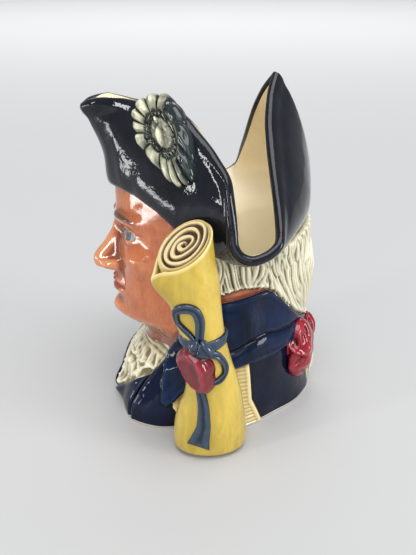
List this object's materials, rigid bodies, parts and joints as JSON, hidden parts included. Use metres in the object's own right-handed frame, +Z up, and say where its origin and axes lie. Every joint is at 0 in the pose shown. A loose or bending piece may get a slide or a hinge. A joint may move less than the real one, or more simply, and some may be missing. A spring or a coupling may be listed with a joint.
{
  "type": "character jug",
  "caption": "Slip-cast character jug: an officer's bust in a tricorne hat open at the top for pouring, with a ribbon-tied scroll as its handle.",
  "frame": {"origin": "middle of the figure's base, on the surface it stands on", "axes": "+Z up; -Y the way the figure faces; +X the figure's left, where the scroll handle is"},
  "size_m": [0.1648, 0.132, 0.1871],
  "materials": {
    "glazed_earthenware": "gloss"
  },
  "bodies": {
    "root": {"jug": "glazed_earthenware"}
  },
  "joints": []
}
